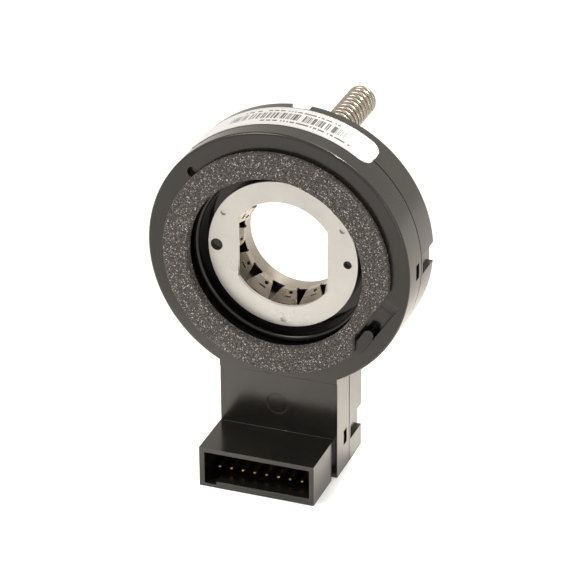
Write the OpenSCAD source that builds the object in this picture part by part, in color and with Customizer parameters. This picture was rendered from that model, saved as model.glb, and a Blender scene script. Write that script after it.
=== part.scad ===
// Steering angle sensor for a steering column: a ring shaped housing with a neck and a connector,
// a rotor that turns with the shaft, and two small measuring gears that the rotor drives.
// Millimetres. X to the right, Y towards the back, Z up. The origin lies on the shaft axis,
// in the middle of the plain band at the rear of the clip sleeve.
// A depth is measured towards the back from the ring's front face.

/* [Housing] */
// Radius of the housing ring
ring_r = 27.05; // [26.9:0.05:28]
// Overall depth of the closed housing
housing_depth = 14.7; // [14.4:0.1:16]
// Depth at which the front cover meets the rear cover
parting_depth = 7.4; // [7.3:0.05:7.8]
// Thickness of the covers' side walls
side_wall = 1.5; // [1.2:0.1:1.6]
// Thickness of the front cover's face
face_wall = 1.8; // [1.6:0.1:1.9]
// Thickness of the rear cover's back wall
back_wall = 1.5; // [1.2:0.1:1.6]
// Radius that rounds the ring's front rim
rim_radius = 0.6; // [0.3:0.1:1]
// Width and depth of the groove along the parting line
groove = 0.3; // [0.2:0.05:0.4]
// Radius of the opening in the ring face
opening_r = 19; // [18.95:0.05:19.2]

/* [Neck] */
// Width of the neck below the ring
neck_w = 24.7; // [24.4:0.1:27]
// Distance from the shaft axis down to the base of the neck
base_drop = 46.3; // [46:0.1:50]
// Thickness of the neck's floor
neck_floor = 1; // [0.8:0.1:1.1]
// How far the neck face lies behind the ring face
neck_step = 0.3; // [0.2:0.05:0.5]
// Distance from the shaft axis down to the step between the ring face and the neck face
step_drop = 25; // [24.8:0.1:26]
// Diameter of the round gate mark on the neck face
gate_mark_d = 4.4; // [3:0.2:6]
// Distance from the shaft axis down to the gate mark
gate_mark_drop = 31.7; // [29:0.1:33]

/* [Connector] */
// How far the connector shroud stands out of the ring face
shroud_reach = 11.45; // [10:0.05:14]
// Height of the connector shroud
shroud_h = 8.7; // [8.4:0.1:9.4]
// Width of the connector shroud
shroud_w = 24.1; // [23.6:0.1:24.4]
// Shift of the connector shroud to the left of the shaft axis
shroud_shift = 0.4; // [0.2:0.05:0.5]
// Thickness of the shroud's top and right walls
shroud_wall = 0.95; // [0.8:0.05:1.1]
// Thickness of the shroud's left wall
shroud_left_wall = 1.1; // [0.9:0.05:1.2]
// Thickness of the shroud's bottom wall
shroud_bottom = 1.45; // [1.2:0.05:1.5]
// Width of the coding groove in the shroud's bottom wall
coding_w = 2.5; // [1.5:0.1:3]
// Depth of the coding groove in the shroud's bottom wall
coding_depth = 0.7; // [0.4:0.05:0.8]
// Number of contact pins
pin_count = 8; // [4:1:8]
// Distance between neighbouring pins
pin_pitch = 2.5; // [2.3:0.05:2.54]
// Distance from the neck's left side to the middle of the first pin
pin_inset = 2.6; // [2.4:0.1:3]
// Side of the square pins
pin_side = 0.64; // [0.5:0.02:0.7]
// Distance from the base up to the pins' middle
pin_rise = 2.5; // [2.4:0.05:2.7]
// How far the pin tips lie behind the shroud's mouth
pin_setback = 3.9; // [3:0.1:5]

/* [Snap hooks] */
// Width of the recesses in the rear cover's ring
hook_recess_w = 4; // [3.6:0.1:4.4]
// Width of the recesses in the rear cover's neck
neck_recess_w = 4.6; // [4:0.1:5]
// How deep the recesses go into the wall
hook_recess_depth = 0.85; // [0.4:0.05:0.9]
// Distance from the parting line to the recesses
hook_recess_gap = 0.7; // [0.4:0.05:1]
// Width of the windows in the front cover
window_w = 3.2; // [3:0.1:3.6]
// Length of the windows along the shaft axis
window_len = 1.8; // [1.5:0.05:2]
// Depth of the windows' front edge
window_depth = 4.1; // [3.9:0.05:4.3]
// Width of the hook tongues
tongue_w = 2.8; // [2.4:0.1:3]
// Thickness of the hook tongues
tongue_t = 1; // [0.8:0.05:1.1]
// Distance from the shaft axis down to the hooks on the neck
neck_hook_drop = 39.2; // [38.5:0.1:40.5]

/* [Foam seal and label] */
// Outer radius of the foam ring
foam_outer_r = 23.2; // [23:0.02:24.4]
// Inner radius of the foam ring
foam_inner_r = 18.08; // [17.6:0.02:18.4]
// Thickness of the foam ring
foam_t = 2; // [1.5:0.1:3]
// Distance from the shaft axis to the foam ring's straight cut
foam_cut = 20.6; // [20:0.1:21.5]
// Direction of the straight cut, clockwise from the right
foam_cut_angle = 34; // [30:1:38]
// Thickness of the label
label_t = 0.12; // [0.08:0.02:0.2]
// Width of the label along the shaft axis
label_w = 8.4; // [6:0.1:9]
// Depth of the label's front edge
label_depth = 4.1; // [4:0.1:4.8]
// Angle at which the label begins, from the right
label_from = 51; // [46:0.5:56]
// Angle at which the label ends
label_to = 137; // [130:0.5:142]
// Radius of the label's corners
label_corner = 2.5; // [1:0.1:3]

/* [Rotor] */
// Outer radius of the rotor's lip
lip_r = 18.6; // [18.4:0.05:18.7]
// Thickness of the rotor's lip
lip_t = 1.2; // [1:0.05:1.4]
// Depth of the lip's front
lip_depth = 2.5; // [2.2:0.05:2.8]
// Depth of the steel plate's front
plate_depth = 3.15; // [3:0.05:3.3]
// Radius of the steel plate
plate_r = 15.5; // [15.2:0.05:15.8]
// Thickness of the steel plate
plate_t = 0.8; // [0.6:0.05:1]
// Radius of the round sides of the plate's double-D hole
drive_hole_r = 11.2; // [11.1:0.02:11.6]
// Distance from the axis to the flats of the double-D hole
drive_flat = 9.3; // [9.2:0.05:10]
// Depth of the trough between the plate and the lip
trough_depth = 5.4; // [5:0.05:5.6]
// Radius of the rotor's tube
tube_r = 14; // [13.8:0.05:14.2]
// Radius of the sleeve: the bore that the shaft passes through
sleeve_r = 10.8; // [10.6:0.02:10.9]
// Thickness of the sleeve's spring steel
sleeve_t = 0.4; // [0.3:0.02:0.4]
// Length of the sleeve's plain rear band
band_len = 3.5; // [3:0.1:3.8]
// Depth of the band's front edge
band_depth = 10.4; // [10.2:0.1:10.6]
// Number of clip fingers
finger_count = 12; // [8:1:12]
// Radius of the fingers' lands, which grip the shaft
grip_r = 9.9; // [9.8:0.05:10.2]
// Depth of the bend at which the lands begin
grip_depth = 9.4; // [9.2:0.05:9.6]
// Length of the lands
land_len = 1.5; // [1:0.1:2]
// Width of the fingers where they leave the band
finger_root_w = 3; // [2.6:0.1:3.4]
// Width of the fingers at the middle of their lands
finger_bend_w = 2.6; // [2.2:0.1:3]
// Width of the fingers at their free ends
finger_end_w = 5.8; // [5.2:0.1:5.9]
// Radius at the fingers' free ends
finger_end_r = 11.3; // [11:0.05:11.4]
// Depth of the fingers' free ends
finger_end_depth = 4.6; // [4.4:0.05:5]
// Radial play between the rotor's tube and its bearing in the rear cover
bearing_play = 0.2; // [0.1:0.02:0.3]

/* [Gears] */
// Tooth size of the gears, as pitch diameter over teeth
gear_module = 0.6; // [0.59:0.005:0.605]
// Teeth on the rotor
rotor_teeth = 64; // [63:1:64]
// Teeth on measuring gear a
teeth_a = 14; // [13:1:14]
// Teeth on measuring gear b
teeth_b = 15; // [14:1:15]
// Width of the gears' teeth
tooth_len = 3; // [2.6:0.1:3.2]
// Depth of the front of the teeth
tooth_depth = 4.2; // [4.1:0.05:4.3]
// Angle of each measuring gear away from straight down
gear_spread = 13; // [12.8:0.1:13.5]
// Radius of the axles that carry the measuring gears
axle_r = 1.2; // [1:0.05:1.4]
// Radial play of the measuring gears on their axles
axle_play = 0.05; // [0.03:0.01:0.08]
// Radius of the magnets
magnet_r = 2.5; // [2:0.1:2.7]
// Thickness of the magnets
magnet_t = 1.4; // [1.2:0.05:1.45]

/* [Circuit board] */
// Depth of the board's front
board_depth = 9.9; // [9.8:0.05:10]
// Thickness of the board
board_t = 1.6; // [1.2:0.1:1.6]
// Height above which the board is cut off, below the shaft axis
board_top_drop = 14; // [13:0.1:14.5]
// Thickness of the magnet reading chips
chip_t = 0.9; // [0.7:0.05:0.95]
// Side of the square controller chip
controller_side = 7; // [5:0.5:8]

/* [Anti-rotation spring] */
// Outer diameter of the coil spring
spring_d = 6.2; // [5.8:0.1:6.4]
// Diameter of the spring's wire
wire_d = 1.04; // [0.9:0.02:1.1]
// Rise of each open turn
spring_pitch = 1.56; // [1.4:0.02:2]
// Number of open turns
spring_turns = 8.4; // [6:0.1:11]
// Distance from the shaft axis to the spring's axis
spring_reach = 23.45; // [23:0.05:23.6]
// Angle of the spring round the shaft, from the right
spring_angle = 73.6; // [60:0.1:80]
// Length of the post inside the spring
post_len = 6; // [3:0.5:10]

/* [Hidden] */
$fn = 96;

// Clearances and small allowances
through = 1;            // how far a cutting tool runs past a face
running_gap = 0.3;      // between parts that turn and parts that don't
seat_gap = 0.05;        // between parts that are pushed together
hook_gap = 0.1;         // between a tongue and the wall it slides along

// Colours
black_plastic = "#24231f";
gloss_black = "#111110";
foam_grey = "#5b5654";
steel = "#d9d2c5";
spring_steel = "#9d978c";
gold = "#d8b070";
board_green = "#2f5d3a";
chip_black = "#1b1b1d";

// Depths and heights
origin_depth = band_depth + band_len / 2;
land_depth = grip_depth - land_len;
inner_back = housing_depth - back_wall;
tube_back = housing_depth - running_gap;
cup_front = tooth_depth + tooth_len;
magnet_back = cup_front + magnet_t;
board_back = board_depth + board_t;
shroud_x = -shroud_w / 2 - shroud_shift;
base_z = -base_drop;
shroud_top_z = base_z + shroud_h;
neck_hook_z = -neck_hook_drop;

// Front cover details
collar_t = 1;
collar_back = tooth_depth - running_gap;
pocket_in = 21;         // the pocket beside the foam's cut: from this distance along the cut's direction
pocket_w = 3;
pocket_low = -3;        // its lower end, along the cut
pocket_high = 6.2;
pocket_depth = 3;
pocket_wall = 0.7;
pocket_block_in = 21.7; // the block in its lower end, and the block's rounded top
pocket_block_top = -0.6;
pocket_round = 1.1;
pocket_round_in = 22.75;
upper_ramp_out = 9;     // where the ramps reach the face
upper_ramp_depth = 1;
lower_ramp_out = -4.5;
lower_ramp_depth = 0.7;
foam_notch_low = -1.8;  // where the foam's cut turns outwards
foam_notch_flare = [2.3, 3.6];
side_slot_rise = 3.2;
side_slot_len = 1.4;
gate_mark_depth = 0.12;
gate_mark_x = -0.3;
vent_depth = 1.2;
vent_d = 2.2;
vent_reach = 23.8;
vent_angle = 136.4;

// Snap hook details
tongue_overlap = 0.6;   // how far a tongue reaches past its window
tongue_root = 1.8;      // length over which a tongue is joined to the rear cover
nose_reach = 0.4;       // how far the nose reaches into the window

// Rotor details
plate_seat = plate_depth + plate_t;
bearing_r = tube_r + bearing_play;
bearing_t = 1.2;
bearing_front = cup_front + running_gap;
sleeve_outer_r = sleeve_r + sleeve_t;
finger_gap = 0.15;      // between the fingers' corners and the rotor
finger_room_r = norm([finger_end_r + sleeve_t, finger_end_w / 2]) + finger_gap;
finger_turn = 2.5;      // turn of the fingers round the axis, towards the right at the bottom
pilot_d = 2.5;
pilot_reach = 13.8;
slot_hole_d = 1.7;
slot_hole_reach = 13.4;
punch_mark_d = 1.1;
punch_mark_reach = 14.2;
punch_mark_depth = 0.4;
punch_mark_angles = [30, 150, 270];
finger_hole_d = 0.8;
finger_hole_shift = 0.6;
finger_hole_setback = 0.6;
finger_hole_depth = land_depth - finger_hole_setback;
finger_slot = [1.4, 0.4];
finger_slot_setback = 1.6;
finger_slot_depth = finger_end_depth + finger_slot_setback;

// Gear geometry
pressure_angle = 20;
addendum = 0.8 * gear_module;
dedendum = 1.05 * gear_module;
tooth_share = 0.44;     // share of the pitch that the tooth fills; the rest is play
rotor_pitch_r = rotor_teeth * gear_module / 2;
gear_angle_a = -90 - gear_spread;
gear_angle_b = -90 + gear_spread;
gear_reach_a = (rotor_teeth + teeth_a) * gear_module / 2;
gear_reach_b = (rotor_teeth + teeth_b) * gear_module / 2;
centre_a = gear_reach_a * [cos(gear_angle_a), sin(gear_angle_a)];
centre_b = gear_reach_b * [cos(gear_angle_b), sin(gear_angle_b)];
hub_r = 2.4;
hub_front = face_wall + running_gap;
cup_wall = 0.6;
cup_r = magnet_r + seat_gap + cup_wall;
cup_back = magnet_back - running_gap;
axle_back = cup_front - running_gap;

// Circuit board details
board_gap = 0.25;       // between the board's edge and the walls
pin_hole_r = pin_side / sqrt(2) + seat_gap;
pin_end_gap = 0.7;      // between the pins' rear ends and the back wall
pin_end = inner_back - pin_end_gap;
pin_tip_depth = pin_setback - shroud_reach;
pin_z = base_z + pin_rise;
pin_x = -neck_w / 2 + pin_inset;
pin_point = 0.5;
boss_r = 1.7;
peg_r = 0.95;
peg_head = 0.5;
peg_spread = 42.7;      // angle of the two pegs in the ring away from straight down
ring_peg_inset = 4.2;   // from the ring's outer side in to its pegs
neck_peg_inset = 4.05;  // from the neck's sides in to its pegs
neck_peg_rise = 18.9;
peg_reach = ring_r - ring_peg_inset;
neck_peg_x = neck_w / 2 - neck_peg_inset;
neck_peg_z = base_z + neck_peg_rise;
peg_places = [
    peg_reach * [-sin(peg_spread), -cos(peg_spread)],
    peg_reach * [sin(peg_spread), -cos(peg_spread)],
    [-neck_peg_x, neck_peg_z],
    [neck_peg_x, neck_peg_z],
];
angle_chip_size = [4.9, 3.9, chip_t];
small_chip = [5, 4, 1.2];
controller_size = [controller_side, controller_side, small_chip[2]];
controller_rise = 12.7; // each rise is the height of a piece's middle above the base
controller_z = base_z + controller_rise;
bus_chip_x = -4.6;
regulator_x = 3.6;
small_chip_rise = 6.3;
small_chip_z = base_z + small_chip_rise;
resonator_size = [3.2, 1.3, 1];
resonator_rise = 17.9;
resonator_z = base_z + resonator_rise;
capacitor_size = [1.3, 2, 1];
capacitor_inset = 3.75; // from the neck's sides in to the capacitors
capacitor_rise = [15.3, 12.1];
capacitor_x = neck_w / 2 - capacitor_inset;
capacitor_z = [base_z + capacitor_rise[0], base_z + capacitor_rise[1]];

// Spring details
spring_mean_r = (spring_d - wire_d) / 2;
coil_gap = 0.08;         // between the closed turns
closed_pitch = wire_d + coil_gap;
closed_turns = 1;
wire_sides = 8;
steps_per_turn = 16;
post_r = spring_mean_r - wire_d / 2 - seat_gap;

// Places on the shaft axis at a depth, with the drawing plane turned to face the front
module at_depth(depth) {
    translate([0, depth - origin_depth, 0])
        rotate([90, 0, 0])
            children();
}

// A flat outline in X and Z, made solid between two depths
module slab(front, back) {
    at_depth(back)
        linear_extrude(back - front)
            children();
}

// A section in radius and depth, turned round the shaft axis
module turned() {
    translate([0, -origin_depth, 0])
        rotate([90, 0, 0])
            rotate_extrude()
                mirror([0, 1])
                    children();
}

// A box between two corners given as X, depth and Z
module block(low, high) {
    translate([low[0], low[1] - origin_depth, low[2]])
        cube(high - low);
}

// A round rod between two depths, at a place in X and Z
module rod(radius, front, back, place = [0, 0]) {
    slab(front, back)
        translate(place)
            circle(radius);
}

// The outline of ring and neck, drawn in by an inset, with its own inset at the neck's floor
module housing_outline(inset, floor_inset) {
    circle(ring_r - inset, $fn = 180);
    translate([-neck_w / 2 + inset, base_z + floor_inset])
        square([neck_w - 2 * inset, base_drop - floor_inset]);
}

// The snap hooks lie at the left, right and top of the ring and at both sides of the neck.
// The children are drawn with the wall's outer face at X = 0 and outwards to the right.
module at_ring_hooks() {
    for (turn = [0, 90, 180])
        rotate([0, -turn, 0])
            translate([ring_r, 0, 0])
                children();
}

module at_neck_hooks() {
    for (side = [0, 1])
        mirror([side, 0, 0])
            translate([neck_w / 2, 0, neck_hook_z])
                children();
}

module at_hooks() {
    at_ring_hooks()
        children();
    at_neck_hooks()
        children();
}

// Front cover

module rounded_ring() {
    turned()
        difference() {
            union() {
                square([ring_r - rim_radius, parting_depth - groove / 2]);
                translate([0, rim_radius])
                    square([ring_r, parting_depth - groove / 2 - rim_radius]);
                translate([ring_r - rim_radius, rim_radius])
                    circle(rim_radius, $fn = 48);
            }
            square([opening_r, parting_depth]);
        }
}

module front_neck() {
    slab(neck_step, parting_depth - groove / 2)
        translate([-neck_w / 2, base_z])
            square([neck_w, base_drop - opening_r]);
    slab(0, neck_step)
        translate([-neck_w / 2, -step_drop])
            square([neck_w, step_drop - opening_r]);
}

// Cuts the ring's face back to the neck's face, below one straight line
module neck_face_cut() {
    slab(-through, neck_step)
        translate([-neck_w / 2, -ring_r - through])
            square([neck_w, ring_r + through - step_drop]);
}

module shroud() {
    block([shroud_x, -shroud_reach, base_z], [shroud_x + shroud_w, neck_step + through, shroud_top_z]);
}

module shroud_cavity() {
    left = shroud_x + shroud_left_wall;
    right = shroud_x + shroud_w - shroud_wall;
    low = base_z + shroud_bottom;
    block([left, -shroud_reach - through, low], [right, neck_step, shroud_top_z - shroud_wall]);
    block([left, -shroud_reach - through, low - coding_depth], [left + coding_w, neck_step, low + through]);
    // The slot at the root of the right wall, open at the base
    block([right - through, neck_step - side_slot_len, base_z - through],
          [right + shroud_wall + through, neck_step, base_z + side_slot_rise]);
}

module pin_place(i) {
    translate([pin_x + i * pin_pitch, 0, pin_z])
        children();
}

module pin_holes() {
    for (i = [0 : pin_count - 1])
        pin_place(i)
            block([-pin_side / 2, neck_step - through, -pin_side / 2],
                  [pin_side / 2, face_wall + through, pin_side / 2]);
}

// The pocket's outline: a rectangle with a round-topped block standing in its lower end
module pocket_outline() {
    difference() {
        translate([pocket_in, pocket_low])
            square([pocket_w, pocket_high - pocket_low]);
        translate([pocket_block_in, pocket_low - through])
            square([pocket_w, pocket_block_top - pocket_low + through]);
        translate([pocket_round_in, pocket_block_top])
            circle(pocket_round);
    }
}

// A ramp up to the face, given by where it is deep, where it runs out and its depth
module pocket_ramp(deep, out, depth) {
    rotate([0, foam_cut_angle, 0])
        translate([pocket_in, -origin_depth, 0])
            rotate([90, 0, 90])
                linear_extrude(pocket_w)
                    polygon([[-through, deep], [depth, deep], [0, out], [-through, out]]);
}

module face_pocket() {
    slab(-through, pocket_depth)
        rotate(-foam_cut_angle)
            pocket_outline();
    pocket_ramp(pocket_high - seat_gap, upper_ramp_out, upper_ramp_depth);
    pocket_ramp(pocket_block_top + pocket_round + seat_gap, lower_ramp_out, lower_ramp_depth);
}

// The walls and the floor that close the pocket towards the inside
module pocket_shell() {
    slab(face_wall - seat_gap, pocket_depth + pocket_wall)
        rotate(-foam_cut_angle)
            translate([pocket_in - pocket_wall, pocket_low - pocket_wall])
                square([pocket_w + 2 * pocket_wall, pocket_high - pocket_low + 2 * pocket_wall]);
}

module window() {
    block([-side_wall - through, window_depth, -window_w / 2],
          [through, window_depth + window_len, window_w / 2]);
}

module front_cover() {
    color(black_plastic) {
        difference() {
            union() {
                difference() {
                    rounded_ring();
                    neck_face_cut();
                }
                front_neck();
                shroud();
                slab(parting_depth - groove, parting_depth)
                    housing_outline(groove, groove);
            }
            difference() {
                slab(face_wall, parting_depth + through)
                    housing_outline(side_wall, neck_floor);
                pocket_shell();
            }
            rod(opening_r, -through, face_wall + through);
            shroud_cavity();
            pin_holes();
            face_pocket();
            rod(gate_mark_d / 2, 0, neck_step + gate_mark_depth, [gate_mark_x, -gate_mark_drop]);
            rod(vent_d / 2, -through, vent_depth, vent_reach * [cos(vent_angle), sin(vent_angle)]);
            at_hooks()
                window();
        }
        slab(face_wall - seat_gap, collar_back)
            difference() {
                circle(opening_r + collar_t);
                circle(opening_r);
            }
        for (place = [centre_a, centre_b])
            rod(axle_r, face_wall - seat_gap, axle_back, place);
    }
}

// Rear cover

module hook_recess(width) {
    block([-hook_recess_depth, parting_depth + hook_recess_gap, -width / 2],
          [through, housing_depth + through, width / 2]);
}

module hook_tongue() {
    outer = -side_wall - hook_gap;
    tongue_front = window_depth - tongue_overlap;
    tongue_back = parting_depth + tongue_root;
    block([outer - tongue_t, tongue_front, -tongue_w / 2], [outer, tongue_back, tongue_w / 2]);
    block([outer - tongue_t, parting_depth, -tongue_w / 2],
          [outer + hook_gap + seat_gap, tongue_back, tongue_w / 2]);
    // The nose that catches in the window
    block([outer - seat_gap, window_depth + hook_gap, -tongue_w / 2],
          [outer + hook_gap + nose_reach, window_depth + window_len - hook_gap, tongue_w / 2]);
}

module spring_place() {
    translate(spring_reach * [cos(spring_angle), 0, sin(spring_angle)])
        children();
}

module rear_cover() {
    color(black_plastic) {
        difference() {
            union() {
                slab(parting_depth + groove / 2, housing_depth)
                    housing_outline(0, 0);
                slab(parting_depth, parting_depth + groove)
                    housing_outline(groove, groove);
            }
            slab(parting_depth - through, inner_back)
                housing_outline(side_wall, neck_floor);
            rod(bearing_r, inner_back - through, housing_depth + through);
            at_ring_hooks()
                hook_recess(hook_recess_w);
            at_neck_hooks()
                hook_recess(neck_recess_w);
        }
        slab(bearing_front, inner_back + seat_gap)
            difference() {
                circle(bearing_r + bearing_t);
                circle(bearing_r);
            }
        for (place = peg_places) {
            rod(boss_r, board_back, inner_back + seat_gap, place);
            rod(peg_r, board_depth - peg_head, board_back + seat_gap, place);
        }
        at_hooks()
            hook_tongue();
        spring_place()
            rod(post_r, housing_depth - seat_gap, housing_depth + post_len);
    }
}

// Foam seal and label

module foam_ring() {
    color(foam_grey)
        slab(-foam_t, 0)
            difference() {
                circle(foam_outer_r);
                circle(foam_inner_r);
                rotate(-foam_cut_angle)
                    polygon([
                        [foam_cut, ring_r],
                        [foam_cut, foam_notch_low],
                        [foam_cut + foam_notch_flare[0], foam_notch_low - foam_notch_flare[1]],
                        [2 * ring_r, foam_notch_low - foam_notch_flare[1]],
                        [2 * ring_r, ring_r],
                    ]);
            }
}

// The label's rounded end, as a plate that stands on the band at one angle
module label_end(angle, side) {
    end_len = 2 * label_corner;
    rotate([0, -angle, 0])
        translate([ring_r - side_wall, label_depth + label_w / 2 - origin_depth, side * end_len / 2])
            rotate([0, 90, 0])
                linear_extrude(2 * side_wall) {
                    square([end_len, label_w - 2 * label_corner], center = true);
                    square([2 * seat_gap, label_w], center = true);
                    for (across = [-1, 1])
                        translate([0, across * (label_w / 2 - label_corner)])
                            circle(label_corner);
                }
}

module label() {
    corner_angle = label_corner / ring_r * 180 / PI;
    color("white")
        intersection() {
            slab(label_depth, label_depth + label_w)
                difference() {
                    circle(ring_r + label_t, $fn = 180);
                    circle(ring_r, $fn = 180);
                }
            union() {
                slab(label_depth - through, label_depth + label_w + through)
                    polygon(concat([[0, 0]], [
                        for (step = [0 : 6])
                            let (span = label_to - label_from - 2 * corner_angle)
                            let (angle = label_from + corner_angle + span * step / 6)
                            2 * ring_r * [cos(angle), sin(angle)]
                    ]));
                label_end(label_from, 1);
                label_end(label_to, -1);
            }
        }
}

// Gears

function involute(angle) = tan(angle) * 180 / PI - angle;

// Half the angle that a tooth spans at a radius
function half_tooth(teeth, radius) =
    let (pitch_r = teeth * gear_module / 2)
    let (base_r = pitch_r * cos(pressure_angle))
    let (here = radius > base_r ? acos(base_r / radius) : 0)
    360 * tooth_share / teeth / 2 + involute(pressure_angle) - involute(here);

function on_circle(radius, angle) = radius * [cos(angle), sin(angle)];

// The outline of a gear whose first tooth points along X
function gear_outline(teeth) =
    let (pitch_r = teeth * gear_module / 2)
    let (root_r = pitch_r - dedendum)
    let (tip_r = pitch_r + addendum)
    let (radii = [for (k = [0 : 3]) root_r + (tip_r - root_r) * k / 3])
    [
        for (tooth = [0 : teeth - 1])
            let (middle = 360 * tooth / teeth)
            each concat(
                [for (k = [0 : 3]) on_circle(radii[k], middle - half_tooth(teeth, radii[k]))],
                [for (k = [3 : -1 : 0]) on_circle(radii[k], middle + half_tooth(teeth, radii[k]))]
            )
    ];

// The turn that puts a measuring gear's teeth between the rotor's
function mesh_turn(angle, teeth) =
    let (step = 360 / rotor_teeth)
    let (nearest = round(angle / step) * step - angle)
    angle + 180 - nearest * rotor_teeth / teeth + 180 / teeth;

// A measuring gear: teeth, a hub that runs on the axle, and a cup at the back for the magnet
module measuring_gear(teeth, centre, angle) {
    difference() {
        union() {
            slab(tooth_depth, cup_front)
                translate(centre)
                    rotate(mesh_turn(angle, teeth))
                        polygon(gear_outline(teeth));
            rod(hub_r, hub_front, tooth_depth + seat_gap, centre);
            rod(cup_r, cup_front - seat_gap, cup_back, centre);
        }
        rod(axle_r + axle_play, hub_front - through, axle_back + running_gap / 2, centre);
        rod(magnet_r + seat_gap, cup_front, cup_back + through, centre);
    }
}

module magnet(centre) {
    color("#8d8f92")
        rod(magnet_r, cup_front, magnet_back, centre);
}

// Rotor

module rotor() {
    root_r = rotor_pitch_r - dedendum;
    lip_round = lip_t / 2;
    color(gloss_black) {
        turned()
            difference() {
                union() {
                    translate([finger_room_r, plate_seat])
                        square([lip_r - finger_room_r, cup_front - plate_seat]);
                    translate([sleeve_outer_r + seat_gap, plate_seat])
                        square([tube_r - sleeve_outer_r - seat_gap, tube_back - plate_seat]);
                    translate([lip_r - lip_t, lip_depth + lip_round])
                        square([lip_t, tooth_depth - lip_depth]);
                    translate([lip_r - lip_round, lip_depth + lip_round])
                        circle(lip_round, $fn = 48);
                }
                // The trough between the plate and the lip
                translate([plate_r + seat_gap, 0])
                    square([lip_r - lip_t - plate_r - seat_gap, trough_depth]);
                // Room for the clip fingers to give
                square([finger_room_r, band_depth + 2 * seat_gap]);
            }
        slab(tooth_depth, cup_front)
            difference() {
                polygon(gear_outline(rotor_teeth));
                circle(root_r - through);
            }
    }
}

module rotor_plate() {
    color(steel)
        difference() {
            slab(plate_depth, plate_seat)
                difference() {
                    circle(plate_r);
                    intersection() {
                        circle(drive_hole_r);
                        square([2 * drive_flat, 4 * drive_hole_r], center = true);
                    }
                    translate([slot_hole_reach, 0])
                        circle(slot_hole_d / 2);
                    translate([-pilot_reach, 0])
                        circle(pilot_d / 2);
                }
            for (angle = punch_mark_angles)
                rod(punch_mark_d / 2, plate_depth - through, plate_depth + punch_mark_depth,
                    on_circle(punch_mark_reach, angle));
        }
}

// A finger in section, as a bent strip of even thickness: root, bend, land and panel
module finger_section() {
    bends = [
        [sleeve_r + seat_gap, band_depth + seat_gap],
        [grip_r, grip_depth],
        [grip_r, land_depth],
        [finger_end_r, finger_end_depth],
    ];
    polygon(concat(bends, [for (i = [3 : -1 : 0]) bends[i] + [sleeve_t, 0]]));
}

// A finger seen from the shaft axis: narrowest at its land, it widens towards its free end
module finger_plan() {
    front = finger_end_depth - seat_gap;
    waist = (grip_depth + land_depth) / 2;
    back = band_depth + through;
    polygon([
        [back, -finger_root_w / 2],
        [waist, -finger_bend_w / 2],
        [front, -finger_end_w / 2],
        [front, finger_end_w / 2],
        [waist, finger_bend_w / 2],
        [back, finger_root_w / 2],
    ]);
}

module finger() {
    difference() {
        intersection() {
            translate([0, -origin_depth, -finger_end_w])
                linear_extrude(2 * finger_end_w)
                    finger_section();
            translate([0, -origin_depth, 0])
                rotate([90, 0, 90])
                    linear_extrude(2 * sleeve_r)
                        finger_plan();
        }
        translate([0, -origin_depth, 0])
            rotate([90, 0, 90])
                linear_extrude(2 * sleeve_r) {
                    translate([finger_hole_depth, finger_hole_shift])
                        circle(finger_hole_d / 2, $fn = 24);
                    translate([finger_slot_depth, finger_hole_shift / 2])
                        square([finger_slot[1], finger_slot[0]], center = true);
                }
    }
}

module clip_sleeve() {
    color(spring_steel) {
        turned()
            translate([sleeve_r, band_depth])
                square([sleeve_t, band_len]);
        for (i = [0 : finger_count - 1])
            rotate([0, finger_turn - i * 360 / finger_count, 0])
                finger();
    }
}

// Circuit board and what is on it

module circuit_board() {
    color(board_green)
        slab(board_depth, board_back)
            difference() {
                intersection() {
                    housing_outline(side_wall + board_gap, neck_floor + board_gap);
                    translate([-ring_r, base_z])
                        square([2 * ring_r, base_drop - board_top_drop]);
                }
                circle(bearing_r + bearing_t + board_gap);
                for (place = peg_places)
                    translate(place)
                        circle(peg_r + seat_gap, $fn = 32);
                for (i = [0 : pin_count - 1])
                    translate([pin_x + i * pin_pitch, pin_z])
                        circle(pin_hole_r, $fn = 24);
            }
}

// A flat chip or small component on the board's front, given as width, height and thickness
module on_board(centre, size) {
    block([centre[0] - size[0] / 2, board_depth - size[2], centre[1] - size[1] / 2],
          [centre[0] + size[0] / 2, board_depth, centre[1] + size[1] / 2]);
}

module angle_chip(centre) {
    color(chip_black)
        on_board(centre, angle_chip_size);
}

module controller_chip() {
    color(chip_black)
        on_board([0, controller_z], controller_size);
}

module bus_chip() {
    color(chip_black)
        on_board([bus_chip_x, small_chip_z], small_chip);
}

module regulator_chip() {
    color(chip_black)
        on_board([regulator_x, small_chip_z], small_chip);
}

module resonator() {
    color("#b9b4a8")
        on_board([0, resonator_z], resonator_size);
}

module capacitor(i) {
    side = i <= 2 ? -1 : 1;
    color("#a08a6c")
        on_board([side * capacitor_x, capacitor_z[(i - 1) % 2]], capacitor_size);
}

// A contact pin: a square wire, bevelled at its tip, from the connector through the board
module terminal(i) {
    color(gold)
        pin_place(i - 1) {
            block([-pin_side / 2, pin_tip_depth + pin_point, -pin_side / 2],
                  [pin_side / 2, pin_end, pin_side / 2]);
            block([-pin_side / 4, pin_tip_depth, -pin_side / 4],
                  [pin_side / 4, pin_tip_depth + pin_point + seat_gap, pin_side / 4]);
        }
}

// Anti-rotation spring

all_turns = spring_turns + 2 * closed_turns;

// How far the wire has risen after some turns: the end turns lie close, the others open
function rise(turns) =
    let (low = min(turns, closed_turns))
    let (open = max(0, min(turns - closed_turns, spring_turns)))
    let (high = max(0, turns - closed_turns - spring_turns))
    (low + high) * closed_pitch + open * spring_pitch;

function wire_point(turns, side) =
    let (around = 360 * side / wire_sides)
    let (radius = spring_mean_r + wire_d / 2 * cos(around))
    let (height = rise(turns) + wire_d / 2 * (1 + sin(around)))
    [radius * cos(360 * turns), height, radius * sin(360 * turns)];

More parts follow.
